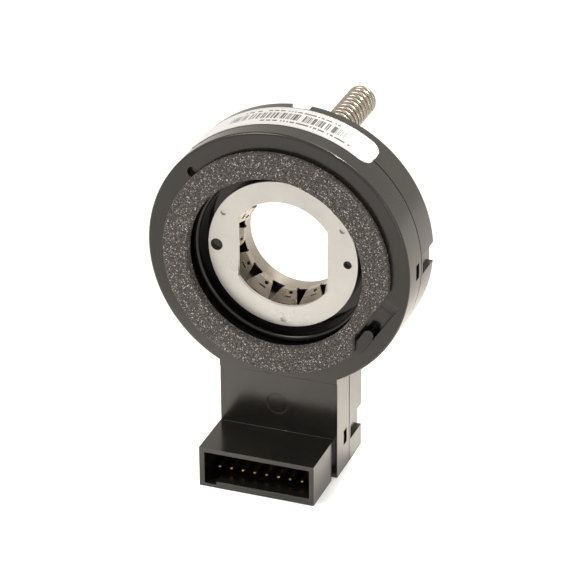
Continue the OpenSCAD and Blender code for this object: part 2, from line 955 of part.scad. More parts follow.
module coil_spring() {
    ring_total = round(all_turns * steps_per_turn);
    points = [
        for (ring = [0 : ring_total])
            for (side = [0 : wire_sides - 1])
                wire_point(all_turns * ring / ring_total, side)
    ];
    sides = [
        for (ring = [0 : ring_total - 1])
            for (side = [0 : wire_sides - 1])
                let (next = (side + 1) % wire_sides)
                let (here = ring * wire_sides)
                [here + side, here + next, here + next + wire_sides, here + side + wire_sides]
    ];
    start_face = [for (side = [wire_sides - 1 : -1 : 0]) side];
    end_face = [for (side = [0 : wire_sides - 1]) ring_total * wire_sides + side];
    color(steel)
        spring_place()
            translate([0, housing_depth - origin_depth, 0])
                polyhedron(points, concat(sides, [start_face, end_face]), convexity = 20);
}

front_cover();
rear_cover();
foam_ring();
label();
rotor();
rotor_plate();
clip_sleeve();
color("#d7d2c0") measuring_gear(teeth_a, centre_a, gear_angle_a);  // measuring_gear_a
color("#d7d2c0") measuring_gear(teeth_b, centre_b, gear_angle_b);  // measuring_gear_b
magnet(centre_a);  // magnet_a
magnet(centre_b);  // magnet_b
circuit_board();
angle_chip(centre_a);  // angle_chip_a
angle_chip(centre_b);  // angle_chip_b
controller_chip();
bus_chip();
regulator_chip();
resonator();
coil_spring();
for (i = [1 : 4])
    capacitor(i);
for (i = [1 : pin_count])
    terminal(i);
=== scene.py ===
# %% [markdown]
# A steering angle sensor sits round the steering shaft of a car and tells how far the wheel is turned.
# The solid parts come ready made in the frame, at their real size, in metres.
# This lesson gives them their finishes, and adds the pieces that a solid modeller is poor at:
# the open foam seal, the sticker on its curved band, the coil spring and the blunt contact pins.

import math

import bpy
from mathutils import Matrix, Vector, noise


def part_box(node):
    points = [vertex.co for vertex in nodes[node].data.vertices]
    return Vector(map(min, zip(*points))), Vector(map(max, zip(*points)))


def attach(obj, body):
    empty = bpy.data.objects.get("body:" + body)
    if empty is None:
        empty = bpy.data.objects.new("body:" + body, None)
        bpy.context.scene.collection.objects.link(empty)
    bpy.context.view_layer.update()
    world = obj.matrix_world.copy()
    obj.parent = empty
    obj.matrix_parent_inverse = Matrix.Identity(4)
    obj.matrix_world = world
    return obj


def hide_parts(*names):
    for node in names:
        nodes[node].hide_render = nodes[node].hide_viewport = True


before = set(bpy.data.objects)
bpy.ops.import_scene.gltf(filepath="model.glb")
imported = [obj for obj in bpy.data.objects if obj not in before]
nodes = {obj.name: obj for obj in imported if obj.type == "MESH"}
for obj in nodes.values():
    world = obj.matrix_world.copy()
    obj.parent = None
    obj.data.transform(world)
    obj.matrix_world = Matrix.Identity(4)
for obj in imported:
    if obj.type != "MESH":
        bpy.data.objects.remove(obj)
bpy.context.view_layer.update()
scene = bpy.context.scene
MM = 0.001
print("solid parts:", len(nodes))

# %% [markdown]
# Depths in this object are counted from the front face of the ring, towards the back.
# The front cover reaches from the mouth of the connector, so the ring's face is found from the foam,
# whose solid lies flat on it. What is added later is placed from these planes. The rear cover ends
# behind the ring's own back, at the tip of the post that the spring sits on.

# %% Planes and radii, read from the solids
foam_low, foam_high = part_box("foam_ring")
face_y = foam_high.y
foam_front_y = foam_low.y
rear_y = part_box("rear_cover")[1].y
base_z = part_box("front_cover")[0].z
ring_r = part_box("rear_cover")[1].z
label_low, label_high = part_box("label")
print("ring radius mm:", round(ring_r / MM, 2), "face at y mm:", round(face_y / MM, 2))
print("from the face to the tip of the spring's post mm:", round((rear_y - face_y) / MM, 2))

# %% [markdown]
# Colours are written as sRGB hex values, as they would be picked from a colour card, and Blender's
# shaders want linear light. One function does that step. Another adds a shader node, sets it and
# links it, and every material below is built on those two.

# %% Colour and node helpers


def linear(hex_code):
    channels = [int(hex_code[i:i + 2], 16) / 255 for i in (1, 3, 5)]
    return [c / 12.92 if c <= 0.04045 else ((c + 0.055) / 1.055) ** 2.4 for c in channels] + [1.0]


def add_node(tree, kind, settings=None, **sockets):
    """A new node. Each socket, named with _ for a space or numbered as i0, gets a value or an output."""
    node = tree.nodes.new(kind)
    for name, value in (settings or {}).items():
        setattr(node, name, value)
    for name, value in sockets.items():
        key = int(name[1:]) if name[0] == "i" and name[1:].isdigit() else name.replace("_", " ")
        if isinstance(value, bpy.types.NodeSocket):
            tree.links.new(value, node.inputs[key])
        else:
            node.inputs[key].default_value = value
    return node


def new_material(name, colour, roughness, metallic=0.0, ior=1.5):
    material = bpy.data.materials.new(name)
    material.use_nodes = True
    tree = material.node_tree
    shader = tree.nodes["Principled BSDF"]
    shader.inputs["Base Color"].default_value = linear(colour)
    shader.inputs["Roughness"].default_value = roughness
    shader.inputs["Metallic"].default_value = metallic
    shader.inputs["IOR"].default_value = ior
    place = add_node(tree, "ShaderNodeTexCoord").outputs["Object"]
    return material, tree, shader, place


def colour_ramp(tree, factor, stops):
    ramp = add_node(tree, "ShaderNodeValToRGB", Fac=factor)
    for i, (position, colour) in enumerate(stops):
        stop = ramp.color_ramp.elements[i] if i < 2 else ramp.color_ramp.elements.new(position)
        stop.position = position
        stop.color = linear(colour)
    return ramp.outputs["Color"]


def per_metre(size_mm):
    """The texture scale that gives features of about this size."""
    return 1 / (size_mm * MM)


def wear(node_name, material):
    node = nodes[node_name]
    node.data.materials.clear()
    node.data.materials.append(material)


# %% [markdown]
# The covers are moulded in black glass-filled PBT, the usual plastic for car connectors. The tool's
# spark-eroded surface leaves a fine grain, and the melt leaves faint cloudy flow marks, so the gloss
# isn't the same all over. Real edges are never knife sharp: the Bevel node rounds the light on them,
# which gives the thin bright lines that the eye reads as a moulded edge.

# %% Black moulded PBT
GRAIN_MM = 0.12
FLOW_MM = 9
EDGE_MM = 0.12


def moulded_black():
    material, tree, shader, place = new_material("pbt_black_moulded", "#131210", 0.20, ior=1.6)
    flow = add_node(tree, "ShaderNodeTexNoise", Vector=place, Scale=per_metre(FLOW_MM), Detail=3.0)
    tint = colour_ramp(tree, flow.outputs["Fac"], [(0.3, "#100f0d"), (0.7, "#191714")])
    tree.links.new(tint, shader.inputs["Base Color"])
    gloss = add_node(tree, "ShaderNodeMapRange", Value=flow.outputs["Fac"], From_Min=0.3, From_Max=0.7,
                     To_Min=0.16, To_Max=0.24)
    tree.links.new(gloss.outputs["Result"], shader.inputs["Roughness"])
    edge = add_node(tree, "ShaderNodeBevel", {"samples": 6}, Radius=EDGE_MM * MM)
    grain = add_node(tree, "ShaderNodeTexNoise", Vector=place, Scale=per_metre(GRAIN_MM), Detail=2.0)
    bump = add_node(tree, "ShaderNodeBump", Height=grain.outputs["Fac"], Strength=0.10, Distance=0.03 * MM,
                    Normal=edge.outputs["Normal"])
    tree.links.new(bump.outputs["Normal"], shader.inputs["Normal"])
    return material


cover_plastic = moulded_black()
wear("front_cover", cover_plastic)
wear("rear_cover", cover_plastic)
print("covers:", cover_plastic.name)

# %% [markdown]
# The rotor is acetal, or POM, dyed black. It is slippery, so it needs no grease on its bearing, and it
# comes out of a polished tool with a much higher gloss than the covers. Only a faint waviness is left.

# %% Black polished acetal
WAVE_MM = 2.5


def polished_acetal():
    material, tree, shader, place = new_material("pom_black_polished", "#0d0d0c", 0.08, ior=1.48)
    wave = add_node(tree, "ShaderNodeTexNoise", Vector=place, Scale=per_metre(WAVE_MM), Detail=2.0)
    gloss = add_node(tree, "ShaderNodeMapRange", Value=wave.outputs["Fac"], From_Min=0.3, From_Max=0.7,
                     To_Min=0.06, To_Max=0.11)
    tree.links.new(gloss.outputs["Result"], shader.inputs["Roughness"])
    bump = add_node(tree, "ShaderNodeBump", Height=wave.outputs["Fac"], Strength=0.05, Distance=0.05 * MM)
    tree.links.new(bump.outputs["Normal"], shader.inputs["Normal"])
    return material


wear("rotor", polished_acetal())
print("rotor: polished acetal")

# %% [markdown]
# The drive plate is stamped from cold-rolled stainless sheet. Rolling leaves a satin surface with very
# fine lines along the strip, and tumbling after the press softens them. The clip sleeve is rolled from
# thin hardened spring strip, a little darker and glossier. Both are metals, so the colour is the
# reflection's own colour and the IOR keeps its default.

# %% Stamped steel and spring strip
LINE_MM = 0.08
STRETCH = 24
CLOUD_MM = 6
STAMPED_EDGE_MM = 0.08


def rolled_steel(name, colour, shade, rough_low, rough_high, line_strength):
    material, tree, shader, place = new_material(name, colour, rough_low, metallic=1.0)
    along = add_node(tree, "ShaderNodeMapping", Vector=place, Scale=(1 / STRETCH, 1, 1))
    lines = add_node(tree, "ShaderNodeTexNoise", Vector=along.outputs["Vector"], Scale=per_metre(LINE_MM),
                     Detail=2.0)
    cloud = add_node(tree, "ShaderNodeTexNoise", Vector=place, Scale=per_metre(CLOUD_MM), Detail=3.0)
    tint = colour_ramp(tree, cloud.outputs["Fac"], [(0.35, shade), (0.65, colour)])
    tree.links.new(tint, shader.inputs["Base Color"])
    gloss = add_node(tree, "ShaderNodeMapRange", Value=cloud.outputs["Fac"], From_Min=0.3, From_Max=0.7,
                     To_Min=rough_low, To_Max=rough_high)
    tree.links.new(gloss.outputs["Result"], shader.inputs["Roughness"])
    edge = add_node(tree, "ShaderNodeBevel", {"samples": 4}, Radius=STAMPED_EDGE_MM * MM)
    bump = add_node(tree, "ShaderNodeBump", Height=lines.outputs["Fac"], Strength=line_strength,
                    Distance=0.01 * MM, Normal=edge.outputs["Normal"])
    tree.links.new(bump.outputs["Normal"], shader.inputs["Normal"])
    return material


wear("rotor_plate", rolled_steel("stainless_sheet_tumbled", "#c2c2c0", "#bababa", 0.27, 0.34, 0.15))
wear("clip_sleeve", rolled_steel("spring_strip_hardened", "#b5afa6", "#989289", 0.22, 0.32, 0.10))
print("metal parts: plate and sleeve")

# %% [markdown]
# The contact pins are square brass wire with a gold flash, drawn through a die and coined to a short
# blunt point. The solids are stepped at the tip, so further down each one is replaced by a wire with a
# rounded point. The magnets, gears, board and chips are closed in, and get plain honest finishes.

# %% Gold flash, ferrite, natural acetal, laminate and epoxy
GOLD_CLOUD_MM = 0.6


def gold_flash():
    material, tree, shader, place = new_material("brass_gold_flash", "#e0b56a", 0.22, metallic=1.0)
    cloud = add_node(tree, "ShaderNodeTexNoise", Vector=place, Scale=per_metre(GOLD_CLOUD_MM), Detail=3.0)
    tint = colour_ramp(tree, cloud.outputs["Fac"], [(0.35, "#c99a50"), (0.65, "#f0cf8c")])
    tree.links.new(tint, shader.inputs["Base Color"])
    return material


def speckled(name, colour, speck, size_mm, roughness, ior=1.5, metallic=0.0):
    material, tree, shader, place = new_material(name, colour, roughness, metallic, ior)
    specks = add_node(tree, "ShaderNodeTexNoise", Vector=place, Scale=per_metre(size_mm), Detail=3.0)
    tint = colour_ramp(tree, specks.outputs["Fac"], [(0.4, colour), (0.6, speck)])
    tree.links.new(tint, shader.inputs["Base Color"])
    bump = add_node(tree, "ShaderNodeBump", Height=specks.outputs["Fac"], Strength=0.1, Distance=0.02 * MM)
    tree.links.new(bump.outputs["Normal"], shader.inputs["Normal"])
    return material


natural_acetal = speckled("pom_natural_moulded", "#d9d3c3", "#cfc8b6", 1.5, 0.35, 1.48)
ferrite = speckled("ferrite_sintered", "#4a4a4d", "#5a5a5e", 0.1, 0.5, 2.0)
solder_mask = speckled("glass_epoxy_green_mask", "#1f4f2f", "#27603a", 0.5, 0.3, 1.55)
chip_epoxy = speckled("chip_epoxy_moulded", "#19191b", "#232326", 0.08, 0.5, 1.55)
fired_ceramic = speckled("capacitor_fired_ceramic", "#9c8465", "#ab9473", 0.1, 0.45, 1.6)
tinned_can = speckled("resonator_tinned_can", "#bdb8ac", "#aaa598", 0.8, 0.35, 1.5, 1.0)
capacitors = sorted(name for name in nodes if name.startswith("capacitor_"))
inside = [
    (natural_acetal, ["measuring_gear_a", "measuring_gear_b"]),
    (ferrite, ["magnet_a", "magnet_b"]),
    (solder_mask, ["circuit_board"]),
    (chip_epoxy, ["angle_chip_a", "angle_chip_b", "controller_chip", "bus_chip", "regulator_chip"]),
    (tinned_can, ["resonator"]),
    (fired_ceramic, capacitors),
]
for material, names in inside:
    for name in names:
        wear(name, material)
print("inside parts finished:", sum(len(names) for _, names in inside))

# %% [markdown]
# Pieces that are added are plain meshes made from points and faces. One helper turns them into an
# object, shades it smooth, hands it to the body that it moves with and hides the solid that it
# stands for.

# %% Make a piece from points and faces


def make_piece(name, points, faces, material, body, stands_for):
    mesh = bpy.data.meshes.new(name)
    mesh.from_pydata([tuple(p) for p in points], [], faces)
    mesh.validate()
    mesh.update()
    mesh.polygons.foreach_set("use_smooth", [True] * len(mesh.polygons))
    piece = bpy.data.objects.new(name, mesh)
    scene.collection.objects.link(piece)
    mesh.materials.append(material)
    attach(piece, body)
    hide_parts(stands_for)
    return piece


def tube_faces(rings, sides, closed_round=True):
    """Quads between rings of points; closed_round joins the last ring to the first."""
    faces = []
    last = rings if closed_round else rings - 1
    for ring in range(last):
        here = ring * sides
        there = (ring + 1) % rings * sides
        for side in range(sides):
            other = (side + 1) % sides
            faces.append((here + side, there + side, there + other, here + other))
    return faces


# %% [markdown]
# A pin is 0.64 mm square with its corners cut. Its point is coined blunt: rings of the same outline,
# each drawn smaller, make a short dome. The dome turns some of its surface towards the light at the
# connector's mouth, and that is the bright dot seen on each pin.

# %% Contact pins
# Depth behind the tip in mm, and the share of the full width there
DOME = [(0.0, 0.3), (0.07, 0.68), (0.18, 0.9), (0.4, 1.0)]
CORNER_SHARE = 0.8
PIN_SIDES = 8


def pin_outline(half):
    cut = half * CORNER_SHARE
    return [(half, cut), (cut, half), (-cut, half), (-half, cut),
            (-half, -cut), (-cut, -half), (cut, -half), (half, -cut)]


gold = gold_flash()
pins = sorted(name for name in nodes if name.startswith("terminal_"))
for name in pins:
    low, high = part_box(name)
    middle = (low + high) / 2
    half = (high.x - low.x) / 2
    stations = [(low.y + depth * MM, share) for depth, share in DOME]
    stations += [(high.y - depth * MM, share) for depth, share in reversed(DOME)]
    points = [Vector((middle.x + x * share, y, middle.z + z * share))
              for y, share in stations for x, z in pin_outline(half)]
    faces = tube_faces(len(stations), PIN_SIDES, closed_round=False)
    last = PIN_SIDES * (len(stations) - 1)
    faces += [tuple(range(PIN_SIDES - 1, -1, -1)), tuple(range(last, last + PIN_SIDES))]
    pin = make_piece("pin_" + name[-1], points, faces, gold, "housing", name)
    for polygon in pin.data.polygons:
        polygon.use_smooth = False
print("contact pins:", len(pins))

# %% [markdown]
# The spring is wound from bright stainless wire. Its first and last turns lie close, so that it stands
# straight, and the turns between are open. It is a circle swept along a helix. The solid has eight
# sides round the wire; here there are sixteen, and three times the rings.

# %% Coil spring
WIRE_D_MM = 1.04
OPEN_PITCH_MM = 1.56
CLOSED_PITCH_MM = 1.12
OPEN_TURNS = 8.4
CLOSED_TURNS = 1
WIRE_SIDES = 16
RINGS_PER_TURN = 48
STREAK_MM = 0.5


def bright_wire():
    material, tree, shader, place = new_material("stainless_wire_drawn", "#a9a298", 0.2, metallic=1.0)
    streaks = add_node(tree, "ShaderNodeTexNoise", Vector=place, Scale=per_metre(STREAK_MM), Detail=2.0)
    tint = colour_ramp(tree, streaks.outputs["Fac"], [(0.35, "#958e83"), (0.65, "#b3aca2")])
    tree.links.new(tint, shader.inputs["Base Color"])
    gloss = add_node(tree, "ShaderNodeMapRange", Value=streaks.outputs["Fac"], From_Min=0.3, From_Max=0.7,
                     To_Min=0.16, To_Max=0.28)
    tree.links.new(gloss.outputs["Result"], shader.inputs["Roughness"])
    return material


def wire_rise(turns):
    low = min(turns, CLOSED_TURNS)
    opened = max(0, min(turns - CLOSED_TURNS, OPEN_TURNS))
    high = max(0, turns - CLOSED_TURNS - OPEN_TURNS)
    return ((low + high) * CLOSED_PITCH_MM + opened * OPEN_PITCH_MM) * MM


def coil_points():
    low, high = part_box("coil_spring")
    axis_x = (low.x + high.x) / 2
    axis_z = (low.z + high.z) / 2
    wire_r = WIRE_D_MM * MM / 2
    mean_r = (high.x - low.x) / 2 - wire_r
    all_turns = OPEN_TURNS + 2 * CLOSED_TURNS
    rings = round(all_turns * RINGS_PER_TURN)
    points = []
    for ring in range(rings + 1):
        turns = all_turns * ring / rings
        angle = 2 * math.pi * turns
        for side in range(WIRE_SIDES):
            around = 2 * math.pi * side / WIRE_SIDES
            radius = mean_r + wire_r * math.cos(around)
            y = low.y + wire_r + wire_rise(turns) + wire_r * math.sin(around)
            x = axis_x + radius * math.cos(angle)
            z = axis_z + radius * math.sin(angle)
            points.append(Vector((x, y, z)))
    return points, rings + 1


spring_points, spring_rings = coil_points()
spring_faces = tube_faces(spring_rings, WIRE_SIDES, closed_round=False)
spring_faces.append(tuple(range(WIRE_SIDES - 1, -1, -1)))
last_ring = (spring_rings - 1) * WIRE_SIDES
spring_faces.append(tuple(range(last_ring, last_ring + WIRE_SIDES)))
make_piece("spring_coil", spring_points, spring_faces, bright_wire(), "housing", "coil_spring")
print("spring faces:", len(spring_faces))

# %% [markdown]
# The sticker is satin-coated paper. Its print is nothing but plain bars, drawn by the material: the
# angle round the shaft picks a strip, and a random value decides if it is inked. Two thin rows of short
# bars stand beside the tall ones. Drawn by nodes, the bars stay sharp from close by.

# %% Paper and print
PAPER_HEX = "#eae8e4"
INK_HEX = "#6b6762"
FIBRE_MM = 0.25
# Each field of bars: from and to in degrees round the band, from and to in mm across it, the bars'
# width in mm, and the share that is inked
BARS = [
    (66, 118, 2.9, 5.7, 0.13, 0.5),
    (62, 104, 1.5, 2.1, 0.32, 0.6),
    (70, 112, 6.4, 6.9, 0.32, 0.6),
]


def maths(tree, first, second, operation="MULTIPLY"):
    return add_node(tree, "ShaderNodeMath", {"operation": operation}, i0=first, i1=second).outputs[0]


def bar_field(tree, angle, across, start, end, front, back, width, share):
    """One where a bar is printed: inside the field, in the strips that a random value picks."""
    strip = maths(tree, angle, width * MM / ring_r, "DIVIDE")
    number = add_node(tree, "ShaderNodeMath", {"operation": "FLOOR"}, i0=strip).outputs[0]
    chance = add_node(tree, "ShaderNodeTexWhiteNoise", {"noise_dimensions": "1D"}, W=number).outputs["Value"]
    ink = maths(tree, chance, share, "LESS_THAN")
    limits = [(angle, math.radians(start), math.radians(end)), (across, front * MM, back * MM)]
    for source, low, high in limits:
        ink = maths(tree, ink, maths(tree, source, low, "GREATER_THAN"))
        ink = maths(tree, ink, maths(tree, source, high, "LESS_THAN"))
    return ink


def sticker_paper(front_y):
    material, tree, shader, place = new_material("paper_satin_coated", PAPER_HEX, 0.38, ior=1.45)
    xyz = add_node(tree, "ShaderNodeSeparateXYZ", Vector=place)
    angle = maths(tree, xyz.outputs["Z"], xyz.outputs["X"], "ARCTAN2")
    across = maths(tree, xyz.outputs["Y"], front_y, "SUBTRACT")
    fields = [bar_field(tree, angle, across, *field) for field in BARS]
    ink = fields[0]
    for field in fields[1:]:
        ink = maths(tree, ink, field, "MAXIMUM")
    tint = add_node(tree, "ShaderNodeMix", {"data_type": "RGBA"}, Factor=ink)
    tint.inputs[6].default_value = linear(PAPER_HEX)
    tint.inputs[7].default_value = linear(INK_HEX)
    tree.links.new(tint.outputs[2], shader.inputs["Base Color"])
    fibre = add_node(tree, "ShaderNodeTexNoise", Vector=place, Scale=per_metre(FIBRE_MM), Detail=3.0)
    bump = add_node(tree, "ShaderNodeBump", Height=fibre.outputs["Fac"], Strength=0.06, Distance=0.02 * MM)
    tree.links.new(bump.outputs["Normal"], shader.inputs["Normal"])
    return material


paper = sticker_paper(label_low.y)
print("fields of bars on the paper:", len(BARS))

# %% [markdown]
# The sticker is 0.12 mm thick, with round corners. It bends round the band and bridges the parting
# groove. A strip of points from one end to the other, narrowed near the ends by the corner circle,
# makes the outline. A second layer just over the band closes it to a thin sheet.

# %% Sticker
CORNER_MM = 2.5
END_SHARE = 0.02  # each corner adds at least this share of its radius to the straight end
LABEL_COLUMNS = 120
LABEL_ROWS = 10
GLUE_MM = 0.01
label_radius = label_high.z


def sticker_points(radius):
    """One curved layer of the sticker, as columns of points from its right end to its left."""
    half_w = (label_high.y - label_low.y) / 2
    mid_y = (label_high.y + label_low.y) / 2
    start = math.acos(label_high.x / label_radius)
    end = math.acos(label_low.x / label_radius)
    length = (end - start) * label_radius
    corner = CORNER_MM * MM
    points = []
    for column in range(LABEL_COLUMNS + 1):
        share = (1 - math.cos(math.pi * column / LABEL_COLUMNS)) / 2
        along = share * length
        inset = corner - min(along, length - along)
        half = half_w
        if inset > 0:
            half = half_w - corner + math.sqrt(max(corner ** 2 - inset ** 2, (END_SHARE * corner) ** 2))
        angle = start + share * (end - start)
        for row in range(LABEL_ROWS + 1):
            y = mid_y + half * (2 * row / LABEL_ROWS - 1)
            points.append(Vector((radius * math.cos(angle), y, radius * math.sin(angle))))
    return points


per_column = LABEL_ROWS + 1
top = sticker_points(label_radius)
under = sticker_points(ring_r + GLUE_MM * MM)
count = len(top)
label_faces = []
for column in range(LABEL_COLUMNS):
    for row in range(LABEL_ROWS):
        a = column * per_column + row
        b = a + per_column
        label_faces.append((a, b, b + 1, a + 1))
        label_faces.append((count + a, count + a + 1, count + b + 1, count + b))
edge_loop = [c * per_column for c in range(LABEL_COLUMNS + 1)]
edge_loop += [LABEL_COLUMNS * per_column + r for r in range(1, per_column)]
edge_loop += [c * per_column + LABEL_ROWS for c in range(LABEL_COLUMNS - 1, -1, -1)]
edge_loop += list(range(LABEL_ROWS - 1, 0, -1))
for a, b in zip(edge_loop, edge_loop[1:] + edge_loop[:1]):
    label_faces.append((b, a, count + a, count + b))
make_piece("sticker", top + under, label_faces, paper, "housing", "label")
print("sticker faces:", len(label_faces))

# %% [markdown]
# The seal is open-cell polyurethane foam. Its cells are about a third of a millimetre wide. Most of
# their thin walls are gone, and what is left is a net of struts whose facets catch the light as tiny
# bright specks. Cell noise darkens the middle of each cell as painted shade in its hollow, and finer
# cells pick the few facets that shine: they get a near-white colour, a painted glint, and less roughness.

# %% Open-cell foam
CELL_MM = 0.3
STRUT_MM = 0.16
FACET_MM = 0.17
# facets above GLINT_FROM get a painted glint, a near-white base colour, besides a lower roughness
GLINT_FROM = 0.95  # a facet shines when its random value is above this


def open_foam():
    material, tree, shader, place = new_material("polyurethane_foam_open_cell", "#4f4a48", 0.75, ior=1.45)
    cells = add_node(tree, "ShaderNodeTexVoronoi", {"feature": "F1"}, Vector=place, Scale=per_metre(CELL_MM))
    clouds = add_node(tree, "ShaderNodeTexNoise", Vector=place, Scale=per_metre(STRUT_MM), Detail=3.0)
    depth = maths(tree, cells.outputs["Distance"], clouds.outputs["Fac"])
    # painted shade: the middle of each cell, its hollow, is coloured darker and the struts round it lighter
    tint = colour_ramp(tree, depth, [(0.08, "#2a2725"), (0.28, "#59534f"), (0.45, "#77706b")])
    facet = add_node(tree, "ShaderNodeTexVoronoi", {"feature": "F1"}, Vector=place, Scale=per_metre(FACET_MM))
    facet_value = add_node(tree, "ShaderNodeSeparateColor", Color=facet.outputs["Color"])
    glint = maths(tree, facet_value.outputs[0], GLINT_FROM, "GREATER_THAN")
    # painted glint: the chosen facets are coloured near white; their lower roughness below is real gloss
    painted_glint = add_node(tree, "ShaderNodeMix", {"data_type": "RGBA"}, Factor=glint)
    tree.links.new(tint, painted_glint.inputs[6])
    painted_glint.inputs[7].default_value = linear("#d8d3ce")
    tree.links.new(painted_glint.outputs[2], shader.inputs["Base Color"])
    shine = add_node(tree, "ShaderNodeMapRange", Value=glint, To_Min=0.8, To_Max=0.25)
    tree.links.new(shine.outputs["Result"], shader.inputs["Roughness"])
    bump = add_node(tree, "ShaderNodeBump", Height=depth, Strength=0.9, Distance=0.25 * MM)
    tree.links.new(bump.outputs["Normal"], shader.inputs["Normal"])
    return material


foam_look = open_foam()
print("seal:", foam_look.name)

# %% [markdown]
# The seal is die-cut from a 2 mm sheet. Its section is a rectangle with small round corners at the
# front, cut into short steps, so that the quads swept from it can follow the cells.

# %% Foam section
STEP_MM = 0.22
ROUND_MM = 0.35
TURN_STEPS = 4


def foam_section(inner, outer, thick):
    """Points round the ring's section, as radius, height above the face and outward normal."""
    rounding = ROUND_MM * MM
    step = STEP_MM * MM
    wall = thick - rounding
    flat = outer - inner - 2 * rounding
    rise = max(2, round(wall / step))
    across = max(2, round(flat / step))
    section = []
    for i in range(rise):
        section.append((inner, wall * i / rise, (-1, 0)))
    for i in range(TURN_STEPS):
        a = math.pi / 2 * i / TURN_STEPS
        radius = inner + rounding - rounding * math.cos(a)
        section.append((radius, wall + rounding * math.sin(a), (-math.cos(a), math.sin(a))))
    for i in range(across):
        section.append((inner + rounding + flat * i / across, thick, (0, 1)))
    for i in range(TURN_STEPS):
        a = math.pi / 2 * (1 - i / TURN_STEPS)
        radius = outer - rounding + rounding * math.cos(a)
        section.append((radius, wall + rounding * math.sin(a), (math.cos(a), math.sin(a))))
    for i in range(rise + 1):
        section.append((outer, wall * (1 - i / rise), (1, 0)))
    return section


outer_r = -foam_low.x
inner_r = min(math.hypot(v.co.x, v.co.z) for v in nodes["foam_ring"].data.vertices)
section = foam_section(inner_r, outer_r, face_y - foam_front_y)
print("points round the section:", len(section))

# %% [markdown]
# The seal's outline comes from its solid's corners at the front, so its straight cut at the lower right
# stays. Cell noise and a softer wave push the skin in and out, so the edge is really rough.

# %% Foam seal
FOAM_SEED = Vector((3.1, 7.7, 1.3))
SOFT_WAVE_MM = 3
CELL_PUSH_MM, FINE_PUSH_MM, WAVE_PUSH_MM = 0.16, 0.07, 0.08
LEVEL_CELL = 0.45  # at this distance from a cell's middle, in cells, the cells push neither way


def roughness_at(point):
    """How far the foam's skin stands in or out here, from its cells and a softer wave."""
    cells = noise.voronoi(point / (CELL_MM * MM) + FOAM_SEED)[0][0]
    fine = noise.noise(point / (CELL_MM * MM) + FOAM_SEED)
    wave = noise.noise(point / (SOFT_WAVE_MM * MM) + FOAM_SEED)
    return (CELL_PUSH_MM * (cells - LEVEL_CELL) + FINE_PUSH_MM * fine + WAVE_PUSH_MM * wave) * MM


LEVEL_MM = 0.01  # a corner this near the front plane counts as in it


def foam_outline():
    """The solid's outer corners at the front, in order of their angle, as (angle, x, z)."""
    corners = set()
    for vertex in nodes["foam_ring"].data.vertices:
        x, y, z = vertex.co
        if y < foam_front_y + LEVEL_MM * MM and math.hypot(x, z) > (inner_r + outer_r) / 2:
            corners.add((round(math.atan2(z, x), 5), x, z))
    return sorted(corners)


def reach_at(outline, angle):
    """Distance from the axis to the outline in one direction, on the line between two corners."""
    here = math.atan2(math.sin(angle), math.cos(angle))
    second = next((i for i, corner in enumerate(outline) if corner[0] >= here), 0)
    _, x1, z1 = outline[second - 1]
    _, x2, z2 = outline[second]
    across_x, across_z = math.cos(angle), math.sin(angle)
    share = (x1 * across_z - z1 * across_x) / ((z2 - z1) * across_x - (x2 - x1) * across_z)
    return (x1 + share * (x2 - x1)) * across_x + (z1 + share * (z2 - z1)) * across_z


FOOT_MM = 0.3  # the skin's roughness grows over this height above the ring's face
outline = foam_outline()
print("corners of the foam's outline:", len(outline))
around = round(2 * math.pi * (inner_r + outer_r) / 2 / (STEP_MM * MM))
foam_points = []
for k in range(around):
    angle = 2 * math.pi * k / around
    reach = min(outer_r, reach_at(outline, angle))
    squeeze = (reach - inner_r) / (outer_r - inner_r)
    for radius, height, (out_r, out_h) in section:
        radius = inner_r + (radius - inner_r) * squeeze
        point = Vector((radius * math.cos(angle), face_y - height, radius * math.sin(angle)))
        push = roughness_at(point)
        if height < FOOT_MM * MM:
            push *= height / (FOOT_MM * MM)
        point += Vector((math.cos(angle) * out_r, -out_h, math.sin(angle) * out_r)) * push
        foam_points.append(point)
foam_faces = tube_faces(around, len(section))
foam = make_piece("foam_seal", foam_points, foam_faces, foam_look, "housing", "foam_ring")
print("foam faces:", len(foam.data.polygons))

# %% [markdown]
# The stage is a wide pale floor under a white surround, as in a product photo. The floor is matt
# paper, a warm white in reflections. It adds a little white of its own to the camera's rays and to
# reflections, and keeps the object's shadow.

# %% Floor
WARM_WHITE = "#f8efe3"
FLOOR_GLOW = 0.3
FLOOR_GRAIN_MM = 1.0
HALF_FLOOR = 3.0  # metres
floor_mesh = bpy.data.meshes.new("studio_floor")
floor_mesh.from_pydata([(-HALF_FLOOR, -HALF_FLOOR, base_z), (HALF_FLOOR, -HALF_FLOOR, base_z),
                        (HALF_FLOOR, HALF_FLOOR, base_z), (-HALF_FLOOR, HALF_FLOOR, base_z)],
                       [], [(0, 1, 2, 3)])
floor = bpy.data.objects.new("studio_floor", floor_mesh)
scene.collection.objects.link(floor)
floor_paint, floor_tree, floor_shader, floor_place = new_material("matt_white_paper_sweep", "#f2f1ef", 0.9)
grain = add_node(floor_tree, "ShaderNodeTexNoise", Vector=floor_place, Scale=per_metre(FLOOR_GRAIN_MM),
                 Detail=2.0)
floor_bump = add_node(floor_tree, "ShaderNodeBump", Height=grain.outputs["Fac"], Strength=0.02,
                      Distance=0.05 * MM)
floor_tree.links.new(floor_bump.outputs["Normal"], floor_shader.inputs["Normal"])
floor_rays = add_node(floor_tree, "ShaderNodeLightPath")
floor_mirrored = floor_rays.outputs["Is Glossy Ray"]
floor_tint = add_node(floor_tree, "ShaderNodeMix", {"data_type": "RGBA"}, Factor=floor_mirrored)
floor_tint.inputs[6].default_value = linear("#f8f8f7")
floor_tint.inputs[7].default_value = linear(WARM_WHITE)
floor_tree.links.new(floor_tint.outputs[2], floor_shader.inputs["Base Color"])
floor_seen = maths(floor_tree, floor_rays.outputs["Is Camera Ray"], floor_mirrored, "MAXIMUM")
floor_glow = add_node(floor_tree, "ShaderNodeMapRange", Value=floor_seen, To_Min=0.0, To_Max=FLOOR_GLOW)
